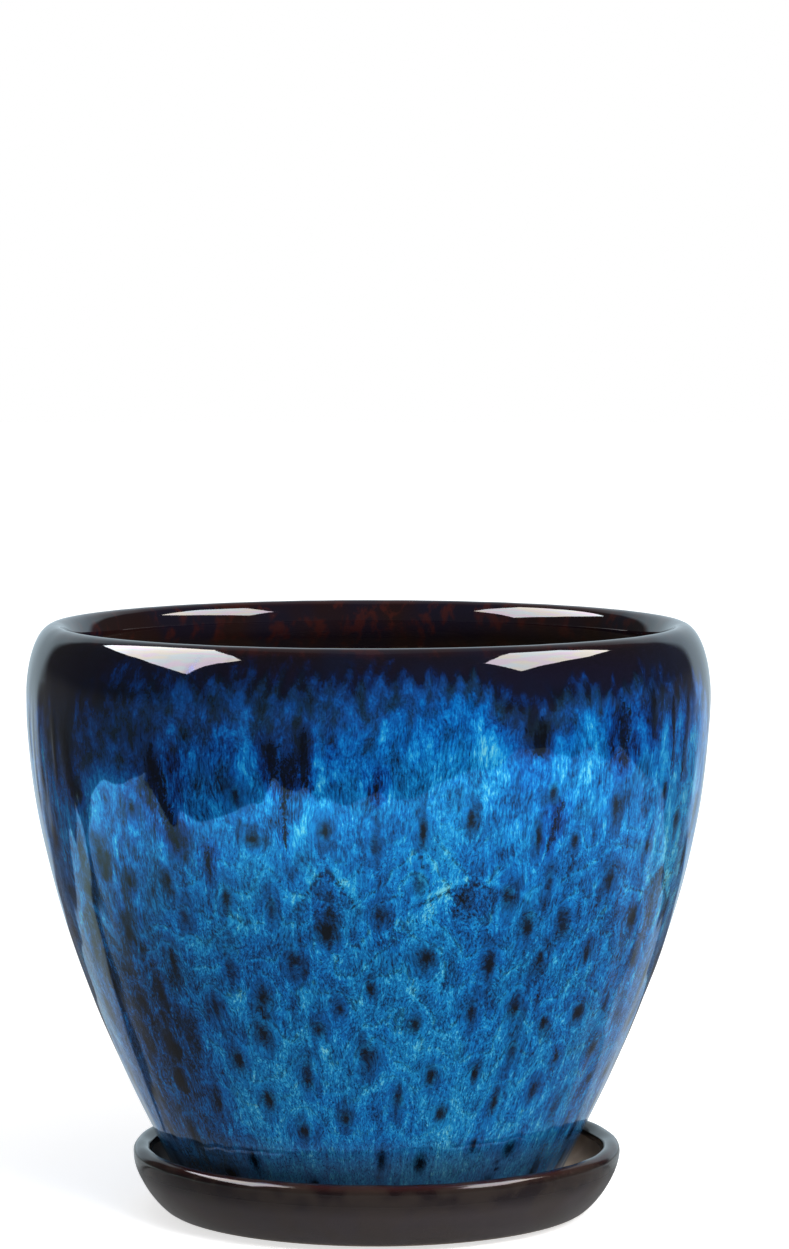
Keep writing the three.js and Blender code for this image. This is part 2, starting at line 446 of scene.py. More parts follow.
def potOutline():
    # the closed profile of the wall, from the drain hole's lower edge out under the foot, up the outside,
    # over the rim, down the inside and across the floor, with the row where the crest lies
    shape = potShape
    shoulder, top, foot = shape["shoulderRadius"], shape["height"], shape["footRadius"]
    shoulderZ = top - shape["shoulderDrop"]
    wall = bezier(
        (foot, 0),
        (foot + shape["footFlare"], shape["footRise"]),
        (shoulder, shoulderZ - shape["bellyLength"]),
        (shoulder, shoulderZ),
    )
    inner = wall - shape["wall"] * outwardOf(wall)
    wall = wall[wall[:, 1] >= shape["footEdge"]]
    crest = (shoulder - shape["crestInset"], top)
    throat = (shoulder - shape["throatInset"], top - shape["throatDrop"])
    innerTop = (shoulder - shape["wall"], shoulderZ)
    aboveShoulder = (shoulder, shoulderZ + shape["shoulderLength"])
    rim = bezier(wall[-1], aboveShoulder, (crest[0] + shape["crestLength"], top), crest)
    bulge = shape["underRim"]
    under = bezier(throat, (throat[0], throat[1] - bulge), (innerTop[0], innerTop[1] + bulge), innerTop)
    # the inside corner: a parabola from the inner wall to the floor
    floor, fillet = shape["floor"], shape["fillet"]
    filletTop = np.argmin(np.abs(inner[:, 1] - floor - fillet))
    leaning = inner[filletTop + 1] - inner[filletTop - 1]
    cornerRadius = inner[filletTop, 0] - fillet * leaning[0] / leaning[1]
    t = np.linspace(0, 1, 60)[:, None]
    corner = (
        (1 - t) ** 2 * inner[filletTop]
        + 2 * (1 - t) * t * np.array([cornerRadius, floor])
        + t**2 * np.array([cornerRadius - fillet, floor])
    )
    sole = foot - shape["footEdge"]
    hollow = sole - shape["footWidth"]
    drain, edge, ceiling = shape["drainRadius"], shape["drainEdge"], shape["hollow"]
    cove, ringEdge = shape["ringCove"], shape["ringEdge"]
    outside = joined(
        arc(4, (drain + edge, ceiling + edge), (drain, ceiling + edge), (drain + edge, ceiling)),
        line(6, (drain + edge, ceiling), (hollow - cove, ceiling)),
        arc(4, (hollow - cove, ceiling - cove), (hollow - cove, ceiling), (hollow, ceiling - cove)),
        line(4, (hollow, ceiling - cove), (hollow, ringEdge)),
        arc(4, (hollow + ringEdge, ringEdge), (hollow, ringEdge), (hollow + ringEdge, 0)),
        line(5, (hollow + ringEdge, 0), (sole, 0)),
        arc(5, (sole, wall[0, 1]), (sole, 0), wall[0]),
        spaced(wall, shape["wallRows"]),
        spaced(rim, shape["rimRows"]),
    )
    inside = joined(
        arc(11, (crest[0], throat[1]), crest, throat),
        spaced(under, 8),
        spaced(inner[filletTop:][::-1], 17),
        spaced(corner, 7),
        line(5, corner[-1], (drain + edge, floor)),
        arc(4, (drain + edge, floor - edge), (drain + edge, floor), (drain, floor - edge)),
        line(3, (drain, floor - edge), (drain, ceiling + edge + shape["drainStep"])),
    )
    return joined(outside, inside[1:]), len(outside) - 1


def glazeWaves(angle, depth, count, around, lengths, seed):
    # a sum of seeded cosine waves, each with whole waves round the pot, of size about 1
    rng = np.random.default_rng(seed)
    around = rng.integers(*around, count)
    lengths = rng.uniform(*lengths, count) * rng.choice([-1, 1], count)
    phase = rng.uniform(0, 2 * math.pi, count)
    total = np.zeros(np.broadcast(angle, depth).shape)
    for k in range(count):
        total += np.cos(around[k] * angle + 2 * math.pi * depth / lengths[k] + phase[k])
    return total * math.sqrt(2 / count)


def turnBetween(angle, other):
    return (angle - other + math.pi) % (2 * math.pi) - math.pi


def ease(value, low, high):
    t = np.clip((value - low) / (high - low), 0, 1)
    return t * t * (3 - 2 * t)


def seededRuns(rng, placed, count, shortest, longest):
    # more runs for the sides and the back, longer ones narrower
    taken = [run[0] for run in placed]
    runs = []
    while len(runs) < count:
        place = rng.uniform(*glazeRun["seededPlaces"])
        if min(abs(place - other % 360) for other in taken) < glazeRun["runGap"]:
            continue
        taken.append(place)
        top = rng.uniform(*glazeRun["runTops"])
        length = rng.uniform(shortest, longest)
        runs.append((place, top, top + length, rng.uniform(1.2, 2.9) - length * 0.01, rng.uniform(-1.5, 1.5)))
    return runs


def seededEyes(rng):
    # eyes thrown one by one, each kept where it is far enough from all the others and under no arch
    placed, seeded = glazeRun["eyes"], []
    wallLength = glazeRun["wallLength"]
    for _ in range(glazeRun["eyeTries"]):
        place, depth = rng.uniform(-180, 180), rng.uniform(56, wallLength - 6)
        if rng.uniform() > ease(depth, 40, 130) + 0.12:
            continue
        radius = 70 + 60 * (1 - depth / wallLength) ** 0.6
        gaps = [
            math.hypot(((place - other + 180) % 360 - 180) * math.pi / 180 * radius, (depth - at) * 0.8)
            for other, at, *_ in placed + seeded
        ]
        if min(gaps) > glazeRun["eyeGap"] * rng.uniform(0.62, 1.1):
            seeded.append((place, depth, rng.uniform(1.3, 3.0), rng.uniform(2.6, 5.6)))
    arches, (aside, down) = glazeRun["arches"], glazeRun["archClear"]
    return placed + [
        (place, depth, *size)
        for place, depth, *size in seeded
        if all(abs(place - other) >= aside or abs(depth - at) >= down for other, at, *_ in arches)
    ]


def glazeMarks(angle, depth, radius):
    # angle, depth from the crest in mm and radius in mm are grids of the pot's points.
    # run: depth below the dark rim, blackness of the runs, and pale streaks, with a painted reflection of the
    # table among them, less the shade round the runs
    # eye: across and down from the nearest eye in its own sizes, and 1 at its middle, 0 at its reach
    # arch: the same for the nearest large soft shadow
    rng = np.random.default_rng(glazeRun["seed"] + 1)
    places = sorted(glazeRun["rimEnd"])
    ends, clearings = np.array([glazeRun["rimEnd"][place] for place in places], float).T
    degrees = (np.degrees(angle) + 180) % 360 - 180
    rimEnd = np.interp(degrees[0], places, ends, period=360)
    clearing = np.interp(degrees[0], places, clearings, period=360)
    for waves, height in glazeRun["rimWaves"]:
        rimEnd = rimEnd + height * np.cos(waves * angle[0] + rng.uniform(0, 6.28))
    # below: mm under the dark rim, with the mm over which it clears drawn out or in to one length
    blotches = glazeWaves(angle, depth, 30, (40, 150), (9, 30), glazeRun["seed"] + 2)
    below = depth - rimEnd[None, :] + glazeRun["rimBlotches"] * blotches
    evened = glazeRun["clearing"]
    below = np.where(below < clearing, below * evened / clearing, below - clearing + evened)

    def runMask(softness, place, top, bottom, half, lean):
        # 1 along the middle of a run, tapered down its length
        fraction = np.clip((depth - top) / (bottom - top), -0.5, 1.5)
        across = turnBetween(angle, np.radians(place + lean * fraction)) * radius
        width = half * softness * (1.15 - 0.7 * np.clip(fraction, 0, 1) ** 2)
        along = ease(fraction, -0.3, 0.25) * (1 - ease(fraction, 0.75, 1.15))
        return along * (1 - ease(np.abs(across) / width, 0.1, 1.7))

    def strongest(kind, runs):
        most = np.zeros(depth.shape)
        for place, top, bottom, half, lean, *strength in runs:
            mask = runMask(glazeRun["runSoftness"][kind], place, top, bottom, half, lean)
            most = np.maximum(most, math.prod(strength) * mask)
        return most

    runs = glazeRun["runs"] + seededRuns(rng, glazeRun["runs"], glazeRun["moreRuns"], *glazeRun["runLengths"])
    black, shade = strongest("black", runs), strongest("shade", runs)
    streaksAndReflection = glazeRun["streaksAndReflection"]
    streaksAndReflection = streaksAndReflection + seededRuns(rng, streaksAndReflection, glazeRun["moreStreaks"], *glazeRun["streakLengths"])
    pale = strongest("pale", streaksAndReflection + glazeRun["sideStreaks"])
    thinAndShade = strongest("thinAndShade", glazeRun["thinAndShadePlaces"])
    paleLessShade = pale * (1 - black) * (1 - shade) - shade * (1 - pale)
    run = np.stack([below, black, paleLessShade], axis=2)

    def nearest(spots, reach, parted, size=1.0):
        best = np.full(depth.shape, 1e9)
        across, down, wide = np.zeros((3, *depth.shape))
        for place, at, halfWidth, halfHeight in spots:
            x = turnBetween(angle, math.radians(place)) * radius / (halfWidth * size)
            y = (depth - at) / (halfHeight * size)
            distance = np.hypot(x, y)
            closer = distance < best
            best = np.where(closer, distance, best)
            across, down = np.where(closer, x, across), np.where(closer, y, down)
            wide = np.where(closer, halfWidth, wide)
        near = np.clip(1 - best / reach, 0, 1)
        # the streaks of the pattern part round each spot: less sideways change close to its middle
        parting = -parted * across * wide * np.exp(-((best / 1.7) ** 2))
        return np.stack([across, down, near], axis=2), parting

    eye, eyeParting = nearest(seededEyes(rng), glazeRun["eyeReach"], 0.55, glazeRun["eyeSize"])
    arch, archParting = nearest(glazeRun["arches"], glazeRun["archReach"], 0.2)
    return {"run": run, "eye": eye, "arch": arch}, black, pale, thinAndShade, eyeParting + archParting


def makePot():
    shape = potShape
    foot = shape["footRadius"]
    outline, crestRow = potOutline()
    turn, radius, height, depth = turnedGrids(outline, crestRow, shape["columns"])
    footDepth = depth[np.argmax(outline[:, 0] > foot), 0]
    # angle is measured from the front, towards the right of the camera's view, as the glaze's places are
    angle = np.broadcast_to(turn + math.pi / 2, radius.shape)
    marks, black, pale, thinAndShade, parting = glazeMarks(angle, depth, radius)
    outward = outwardOf(outline)
    glazed = (0.25 + 0.75 * ease(depth, 10, 40)) * ease(depth, -14, 2)
    glazed = glazed * (1 - ease(depth, footDepth - 12, footDepth - 2))
    # glaze that pooled as it ran
    waves = glazeWaves(angle, depth, shape["waves"], (9, 60), (38, 95), glazeRun["seed"])
    swell = glazed * (shape["waveHeight"] * waves + shape["runProud"] * black - shape["streakThin"] * pale)
    radius = radius + swell * outward[:, :1]
    height = height + swell * outward[:, 1:]
    # notches: points of the foot ring are lifted to the round top of each cut, and keep to the wall's outline
    outerWall = outline[crestRow + 1 - shape["wallRows"] - shape["rimRows"] : crestRow]
    hollow = foot - shape["footEdge"] - shape["footWidth"]
    inRing = (outline[:, :1] > hollow - shape["ringClear"]) & (depth > footDepth / 2)
    notch = shape["notchRadius"]
    for k in range(shape["notches"]):
        away = turnBetween(turn, 2 * math.pi * k / shape["notches"])
        across = np.abs(np.sin(away)) * radius
        arch = shape["notchHeight"] - notch + np.sqrt(np.clip(notch**2 - across**2, 0, None))
        lifted = inRing & (np.abs(away) < 0.5) & (height < arch)
        height = np.where(lifted, arch, height)
        wallAt = np.interp(height, outerWall[:, 1], outerWall[:, 0])
        radius = np.where(lifted & (outline[:, :1] > foot), wallAt, radius)
    tube = shape["patternRadius"]
    flowAngle = angle + parting / tube
    flowDown = np.minimum(depth, shape["patternLength"])
    marks["flow"] = np.stack([np.cos(flowAngle) * tube, np.sin(flowAngle) * tube, flowDown], axis=2)
    # clay: bare foot and underside, unglazed inside, and the darker places: glaze that ran thin, and painted
    # shade down the left side
    bare = ease(depth, footDepth - 1.5, footDepth + 0.5)
    within = 1 - ease(depth, -30, -19)
    marks["clay"] = np.stack([bare, within, thinAndShade], axis=2)
    return turnedPiece("potBody", radius, height + shape["footZ"], closedLoop=True, marks=marks)


potBody = makePot()
print("stage: pot shaped,", len(potBody.data.polygons), "faces")


glazeNoises = {
    # mm across, mm down, detail and roughness
    "wander": (13.0, 24.0, 2.0, 0.5),
    "curl": (3.0, 4.2, 1.0, 0.5),
    "hairs": (0.62, 3.0, 3.0, 0.7),
    "specks": (1.1, 1.7, 2.0, 0.7),
    "threads": (2.3, 14.0, 3.0, 0.65),
    "mottle": (6.0, 10.0, 3.0, 0.6),
    "folds": (13.0, 11.0, 1.0, 0.5),
    "flecks": (0.8, 1.4, 3.0, 0.7),
    "granules": (0.75, 1.0, 2.0, 0.7),
    "waves": (22.0, 60.0, 0.0, 0.5),
    "cloud": (30.0, 46.0, 2.0, 0.5),
}

# how pale the blue is down the wall, from 10 mm above the dark rim's end to 200 mm below it; the rise at the
# last stop, by the foot, is painted reflection of the saucer's lit inside
glazeLift = [
    (0.0, 0.08), (0.05, 0.22), (0.09, 0.35), (0.135, 0.5), (0.195, 0.56), (0.24, 0.57), (0.34, 0.57),
    (0.6, 0.535), (1.0, 0.66),
]

# the blues from the darkest level to the palest, and the levels where they stand
blueLevels = (0.0, 0.14, 0.3, 0.45, 0.6, 0.76, 0.9, 1.0)
blues = {
    "main": [
        (5, 8, 14), (6, 25, 44), (5, 54, 100), (6, 82, 148), (9, 109, 182), (18, 141, 208), (54, 172, 220),
        (106, 198, 224),
    ],
    "teal": [
        (5, 9, 14), (6, 28, 42), (6, 60, 88), (8, 92, 132), (16, 122, 164), (40, 154, 192), (84, 184, 208),
        (130, 206, 216),
    ],
    "violet": [
        (5, 6, 14), (6, 18, 48), (5, 42, 98), (4, 70, 148), (6, 102, 184), (16, 138, 214), (52, 172, 224),
        (106, 198, 226),
    ],
}

# the dark rim, from 20 mm inside the crest to 40 mm down the outside
rimStops = [
    (0.0, (34, 19, 17)), (0.26, (22, 10, 11)), (0.31, (46, 19, 15)), (0.37, (30, 13, 13)),
    (0.44, (12, 8, 14)), (0.56, (11, 9, 22)), (0.75, (9, 12, 28)), (1.0, (9, 30, 52)),
]

# the foot tone is painted reflection: the saucer's lit inside, mirrored at the pot's foot
glazeTones = {
    "ink": (6, 9, 14), "foldSpecks": (4, 15, 28), "roofEdge": (4, 18, 32), "granules": (4, 20, 38),
    "smoke": (52, 86, 114), "foot": (92, 118, 140), "rimBlue": (8, 14, 30), "rust": (54, 20, 15),
    "wash": (60, 52, 42), "paleWash": (78, 68, 55), "washGrit": (46, 38, 32),
}


def makeRunGlaze():
    material, tree, shader = newMaterial("runBlueGlaze")
    flow = markOf(tree, "flow")
    runX, runBlack, runPaleLessShade = partsOf(markOf(tree, "run"))
    eyeX, eyeY, eyeNear = partsOf(markOf(tree, "eye"))
    archX, archY, archNear = partsOf(markOf(tree, "arch"))
    bare, within, thinAndShade = partsOf(markOf(tree, "clay"))
    depth = partsOf(flow)[2]
    tones = {name: tone(*colour) for name, colour in glazeTones.items()}

    def noiseOn(vector, name, output="Fac"):
        across, down, detail, roughness = glazeNoises[name]
        scaled = vectors("MULTIPLY", vector, (1 / across, 1 / across, 1 / down))
        return noise(scaled, detail, roughness, output=output)

    def drift(vector, name, reach):
        # each point moved by a noise, in mm
        away = vectors("SUBTRACT", noiseOn(vector, name, "Color"), (0.5, 0.5, 0.5))
        return vectors("ADD", vector, vectors("MULTIPLY", away, reach))

    # the pattern wanders as the glaze did
    drifted = drift(flow, "wander", (5.0, 5.0, 14.0))
    curled = drift(drifted, "curl", (1.8, 1.8, 3.2))
    hairs, specks, threads = (noiseOn(drifted, name) for name in ("hairs", "specks", "threads"))
    mottle, folds = (noiseOn(drifted, name) for name in ("mottle", "folds"))
    flecks, granules = (noiseOn(curled, name) for name in ("flecks", "granules"))
    waves, cloud = (noiseOn(flow, name) for name in ("waves", "cloud"))
    lower = fade(runX, 30.0, 95.0)
    pale = larger(runPaleLessShade, 0.0)
    shade = larger(runPaleLessShade * -1.0, 0.0)

    # below: mm under the dark rim, its edge broken up by threads and blotches
    below = swayed(runX, (threads, 1.0), (mottle, 8.0), (flecks, 4.0), (hairs, 1.5))
    lift = ramp((below + 10.0) / 210.0, [(at, grey(value)) for at, value in glazeLift])
    streaky = fade(below, 5.0, 35.0, 0.22, 0.68)
    patchy = fade(below, 40.0, 80.0, 1.1, 0.6)
    level = swayed(lift, (threads, streaky), (mottle, patchy), (cloud, 0.3))
    # pale lightens the streaks, and paints the table's reflection as a pale patch on the left
    # the darker places darken the blue where the glaze ran thin and, down the left side, as painted shade
    level = level + pale * 0.2 - shade * 0.2 - thinAndShade * 0.27

    # eyes: a soft dark core, a smooth halo and a ring of pale flecks under it
    ragged = swayed(flecks - 0.5, (threads, 0.9))
    eyeAway = lengthOf(eyeX, eyeY) + ragged
    core = fall(eyeAway, 0.15, 1.4) * fade(eyeNear, 0.4, 0.6) * fade(folds, 0.3, 0.54, 0.7, 1.0)
    halo = fall(eyeAway, 1.3, 2.3) * fade(eyeNear, 0.2, 0.45)
    ring = fall(abs(eyeAway - 2.35), 0.1, 0.6) * fade(eyeY, -0.4, 1.2) * fade(eyeNear, 0.12, 0.3)
    ring = ring * fade(specks, 0.42, 0.6)

    # fine texture: upright hairs high on the wall, rounder flecks lower down, less of both round the eyes
    upright = fade(lower, 0.0, 1.0, 1.0, 0.35) * fade(below, 8.0, 40.0, 0.4, 1.0)
    rounder = larger(lower, fade(below, 8.0, 40.0, 0.7, 0.0))
    fine = (hairs - 0.5) * 1.35 * upright + (flecks - 0.5) * 1.35 * rounder
    calm = (1.0 - halo * 0.5) * fade(below, 0.0, 26.0, 0.45, 1.0)
    level = level + fine * calm - halo * 0.09 + ring * 0.15

    # folds: chains of dark specks along level lines of a field that falls down the wall and sags at the eyes
    field = swayed(depth * 0.075 + eyeNear * 0.9, (waves, 3.4), (folds, 1.2), (mottle, 0.5))
    band = maths("FRACT", field)
    folded = fade(runX, 45.0, 75.0) * fade(runX, 120.0, 190.0, 1.0, 0.45)
    chain = fall(abs(band - 0.12), 0.02, 0.13) * folded * fade(specks, 0.4, 0.56)
    paleBand = fall(abs(band - 0.26), 0.0, 0.24) * folded
    falling = (band - 0.5) * fade(band, 0.0, 0.12) * fall(band, 0.86, 1.0) * folded
    level = level + paleBand * 0.06 - falling * 0.18
    dots = fade(granules, 0.56, 0.68) * fade(lower, 0.0, 1.0, 0.4, 1.0)

    # arches: a long soft shadow under a pale roof with a dark edge
    archAway = lengthOf(archX, archY) + ragged * 0.35
    shadow = fall(archAway, 0.5, 1.3) * fade(archNear, 0.3, 0.5)
    roof = archY - maths("SQRT", archX * archX + 0.12) * 0.5 + 1.3 + ragged * 0.12
    roofMask = fade(archNear, 0.05, 0.4) * fade(mottle, 0.3, 0.46)
    paleRoof = fall(abs(roof), 0.0, 0.3) * roofMask
    darkRoof = fall(abs(roof - 0.26), 0.02, 0.2) * roofMask * fade(specks, 0.4, 0.58)
    level = level - shadow * 0.22 + paleRoof * 0.2

    main, teal, violet = (ramp(level, toned(zip(blueLevels, colours))) for colours in blues.values())
    tealness = fade(swayed(cloud, (folds, 0.6)), 0.46, 0.66, 0.0, 0.3) * fade(below, 25.0, 50.0)
    blue = blend(tealness, main, teal)
    deep = shade * 0.8 + cloud * 0.4 + fade(runX, 20.0, 42.0, 0.25, 0.0)
    deep = swayed(deep, (mottle, 1.6), (threads, 0.8))
    blue = blend(fade(deep, 0.1, 0.6) * fade(lower, 0.0, 1.0, 1.0, 0.3), blue, violet)
    # smoky just below the dark rim, and at the foot a paler grey blue that is painted reflection of the
    # saucer's lit inside
    smoke = fade(below, -4.0, 5.0) * fade(below, 8.0, 24.0, 0.16, 0.0)
    blue = blend(smoke, blue, tones["smoke"])
    blue = blend(fade(depth, 192.0, 210.0, 0.0, 0.4), blue, tones["foot"])
    for mask, strength, name in (
        (chain, 0.65, "foldSpecks"),
        (darkRoof, 0.8, "roofEdge"),
        (dots, 0.7, "granules"),
        (core, 0.97, "ink"),
    ):
        blue = blend(mask * strength, blue, tones[name])

    # black runs, soft at their sides
    dark = swayed(runBlack, (threads, 2.0), (flecks, 2.6), (mottle, 2.0))
    runCore = fade(dark, 0.35, 1.0) * fade(runBlack, 0.03, 0.25)
    blue = blend(runCore * 0.95, blue, tones["ink"])

    # the rim: blue black, turning reddish brown where the glaze is thin over the crest
    rimTone = ramp((depth + 20.0) / 60.0, toned(rimStops))
    rimTone = blend(fade(cloud, 0.45, 0.62, 0.0, 0.6), rimTone, tones["rimBlue"])
    rusty = fade(mottle, 0.5, 0.66, 0.0, 0.6) * fade(depth, 9.0, -1.0)
    rimTone = blend(rusty, rimTone, tones["rust"])
    rimMask = fall(below, -9.0, 7.0)
    glaze = blend(rimMask, blue, rimTone)

    # inside: olive brown wash over the clay below the glazed band, and bare clay under the foot
    grit, grainHeight = grain(flow, 0.9, 0.35)
    wash = blend(fade(mottle, 0.35, 0.65), tones["wash"], tones["paleWash"])
    wash = blend(grit * 0.5, wash, tones["washGrit"])
    insideEdge = fade(swayed(within, (mottle, 0.5)), 0.35, 0.65) * fade(within, 0.02, 0.1)
    colour = blend(bare, blend(insideEdge, glaze, wash), bareClay(grit))
    rough = larger(core * 0.03 + 0.035 + insideEdge * 0.5, bare * 0.85)
    matt = larger(insideEdge, bare)
    height = (mottle - 0.5) * 0.07 * (1.0 - matt) + grainHeight * matt * 0.9
    # the crystals in the blue glaze mirror some of the light in their own colour
    sheen = (1.0 - rimMask) * (1.0 - matt) * glazeRun["sheen"]
    feed(shader, colour=colour, roughness=rough, metal=sheen, normal=bump(height, 0.00018))
    return material


settle(potBody, makeRunGlaze(), "pot", "pot_glaze", "pot")
print("stage: pot glazed")

# the saucer

saucerShape = {
    "centreX": 3.0, "baseZ": 2.1, "height": 24.7, "floor": 7.0, "lipThickness": 7.0, "lipCrown": 3.6,
    "lipInner": 86.32, "flare": 12.3, "baseLean": 6.6, "baseRise": 4.8, "upperLength": 6.0,
    "coveLength": 8.0, "coveReach": 4.0, "floorEdge": 75.5, "ringWidth": 28.2, "ringDepth": 1.5,
    # the base's rounded edge: mm in and up from its corner, for the middle and for the end of the rounding
    "edgeMiddle": (0.8, 0.4), "edgeEnd": (0.2, 0.15), "outOfRound": 0.05, "columns": 320,
}


def saucerOutline():
    shape = saucerShape
    lipInner = shape["lipInner"]
    lipOuter = lipInner + shape["lipThickness"]
    middle = (lipInner + lipOuter) / 2
    base = lipOuter - shape["flare"]
    top, floor = shape["height"], shape["floor"]
    lipZ = top - shape["lipCrown"]
    outside = bezier(
        (base, 0),
        (base + shape["baseLean"], shape["baseRise"]),
        (lipOuter, lipZ - shape["upperLength"]),
        (lipOuter, lipZ),
    )
    inside = bezier(
        (lipInner, lipZ),
        (lipInner, lipZ - shape["coveLength"]),
        (shape["floorEdge"] + shape["coveReach"], floor),
        (shape["floorEdge"], floor),
    )
    ring, ringDepth = base - shape["ringWidth"], shape["ringDepth"]
    (inset, rise), (endInset, endRise) = shape["edgeMiddle"], shape["edgeEnd"]
    edge = quarter((base - inset, rise), (base - inset, 0), (base - endInset, endRise))
    outer = joined(
        line(8, (0, ringDepth), (ring - ringDepth, ringDepth)),
        line(3, (ring - ringDepth, ringDepth), (ring, 0)),
        line(5, (ring, 0), (base - inset, 0)),
        spaced(joined(edge, outside[8:]), 26),
        arc(9, (middle, lipZ), (lipOuter, lipZ), (middle, top)),
    )
    inner = joined(
        arc(9, (middle, lipZ), (middle, top), (lipInner, lipZ)),
        spaced(inside, 16),
        line(14, (shape["floorEdge"], floor), (0, floor)),
    )
    return joined(outer, inner[1:]), len(outer) - 1


def makeSaucer():
    shape = saucerShape
    outline, crestRow = saucerOutline()
    turn, radius, height, depth = turnedGrids(outline, crestRow, shape["columns"])
    outward = outwardOf(outline)
    # hand-turned: the wall is a few hundredths of a millimetre out of round
    wobble = np.cos(7 * turn + depth / 6) + np.cos(13 * turn - depth / 4 + 1)
    wobble = wobble + np.cos(29 * turn + depth / 3 + 2)
    swell = shape["outOfRound"] * (1 - ease(np.abs(depth), 14, 24)) * wobble
    radius = np.where(radius > 1, radius + swell * outward[:, :1], radius)
    height = height + np.where(radius > 1, swell * outward[:, 1:], 0)
    bare = ease(depth, 29, 31)
    inner = 1 - ease(depth, -9, -4)
    marks = {
        "flow": np.stack([np.cos(turn) * radius, np.sin(turn) * radius, depth], axis=2),
        "clay": np.stack([bare, inner, 0 * bare], axis=2),
    }
    return turnedPiece("saucerDish", radius, height + shape["baseZ"], (shape["centreX"], 0.0), marks=marks)


# from 6 mm inside the lip's crown to 34 mm down the outside; the grey lower down the outside is partly the
# glaze's own colour and partly painted reflection of the pale table under it
saucerStops = [
    (0.0, (16, 11, 12)), (0.15, (18, 12, 13)), (0.2, (44, 20, 18)), (0.26, (20, 12, 14)),
    (0.38, (26, 20, 23)), (0.52, (52, 46, 48)), (1.0, (57, 52, 53)),
]


def makeBrownGlaze():
    material, tree, shader = newMaterial("brownBlackGlaze")
    flow = markOf(tree, "flow")
    bare, inner, _ = partsOf(markOf(tree, "clay"))
    depth = partsOf(flow)[2]
    cloud = noise(flow, scale=1 / 14)
    specks, grainHeight = grain(flow, 0.8, 0.3)
    outside = ramp((depth + 6.0) / 40.0, toned(saucerStops))
    outside = blend(fade(cloud, 0.4, 0.62, 0.0, 0.4), outside, tone(54, 46, 40))
    outside = blend(specks * 0.25, outside, tone(24, 20, 22))
    tan = blend(fade(cloud, 0.35, 0.65), tone(176, 152, 128), tone(148, 124, 102))
    tan = blend(specks * 0.45, tan, tone(104, 84, 70))
    edge = fade(swayed(inner, (cloud, 0.6)), 0.3, 0.7) * fade(inner, 0.02, 0.1)
    colour = blend(bare, blend(edge, outside, tan), bareClay(specks))
    rough = larger(fade(depth, 5.0, 11.0, 0.08, 0.3) + edge * 0.28, bare * 0.85)
    height = grainHeight * fade(depth, 6.0, 14.0, 0.15, 0.6)
    feed(shader, colour=colour, roughness=rough, specular=0.3, normal=bump(height, 0.00012))
    return material


saucerDish = makeSaucer()
settle(saucerDish, makeBrownGlaze(), "saucer", "saucer_glaze", "saucer")
print("stage: saucer made")

# the felt pads under the saucer

padShape = {"radius": 7.0, "height": 2.0, "round": 0.55, "circle": 61.02, "columns": 60, "fuzz": 0.05}


def makePad(number, material):
    shape = padShape
    rng = np.random.default_rng(number)
    edge, radius, height = shape["round"], shape["radius"], shape["height"]
    outline = joined(
        line(8, (0, 0), (radius - edge, 0)),
        arc(5, (radius - edge, edge), (radius - edge, 0), (radius, edge)),
        line(4, (radius, edge), (radius, height - edge)),
        arc(5, (radius - edge, height - edge), (radius, height - edge), (radius - edge, height)),
        line(8, (radius - edge, height), (0, height)),
    )
    turns = math.pi * (number - 0.5) / 2
    wall = 1 - ease(np.abs(outline[:, 1:] - height / 2), height / 2 - 0.4, height / 2)
    fuzz = wall * rng.uniform(-1, 0.2, (len(outline), shape["columns"])) * shape["fuzz"]
    radii = outline[:, :1] + fuzz
    heights = np.repeat(outline[:, 1:], shape["columns"], axis=1)
    centre = (saucerShape["centreX"] + shape["circle"] * math.cos(turns), shape["circle"] * math.sin(turns))
    pad = turnedPiece(f"feltPad{number}", radii, heights, centre)
    settle(pad, material, "saucer", "felt", f"felt_pad_{number}")


def makeGrainy(name, grainSize, coverage, under, over, bumpHeight, **looks):
    # a rough material with specks of a second tone, made for felt and plastic
    material, tree, shader = newMaterial(name)
    specks, height = grain(placeOf(tree), grainSize, coverage)
    feed(shader, colour=blend(specks, tone(*under), tone(*over)), normal=bump(height, bumpHeight), **looks)
    return material, shader, height


felt, *_ = makeGrainy(
    "brownFelt", 0.0009, 0.6, (46, 40, 36), (78, 68, 60), 0.0004,
    roughness=0.95, sheen=0.3, sheenRoughness=0.5,
)
for number in range(1, 5):
    makePad(number, felt)
print("stage: pads made")

# the screen over the drain hole

screenShape = {
    "bottom": 22.3, "radius": 25.0, "thickness": 1.2, "pitch": 4.5,
    "strand": 0.62,  # half thickness of a strand
    "flatness": 0.8,  # a strand's height over its width
    "press": 0.12,  # how far the two layers press into each other
    "rim": 0.8, "sides": 10, "steps": 48, "rimSteps": 96,
}


def tubeMesh(path, halfWidth, halfHeight, sides, closedPath):
    # an ellipse carried along a level path: halfWidth * cos(a) * sideways + halfHeight * sin(a) * up from its
    # centre, with both ends drawn in to points unless the path is closed
    along = np.gradient(path, axis=0)
    if closedPath:
        along = np.roll(path, -1, axis=0) - np.roll(path, 1, axis=0)
    sideways = np.column_stack([along[:, 1], -along[:, 0], np.zeros(len(path))])
    sideways /= np.linalg.norm(sideways, axis=1)[:, None]
    angle = np.linspace(0, 2 * math.pi, sides, endpoint=False)
    size = np.ones(len(path))
    if not closedPath:
        size[[0, -1]] = 0.02
    ring = size[:, None, None] * (
        halfWidth * np.cos(angle)[None, :, None] * sideways[:, None, :]
        + halfHeight * np.sin(angle)[None, :, None] * np.array([0, 0, 1.0])
    )
    points = (path[:, None, :] + ring).reshape(-1, 3)
    index = np.arange(len(points)).reshape(len(path), sides)
    ends = [] if closedPath else [index[0].tolist(), index[-1][::-1].tolist()]
    if closedPath:
        index = np.vstack([index, index[:1]])
    return points, quadsBetween(index)[:, [0, 3, 2, 1]].tolist() + ends


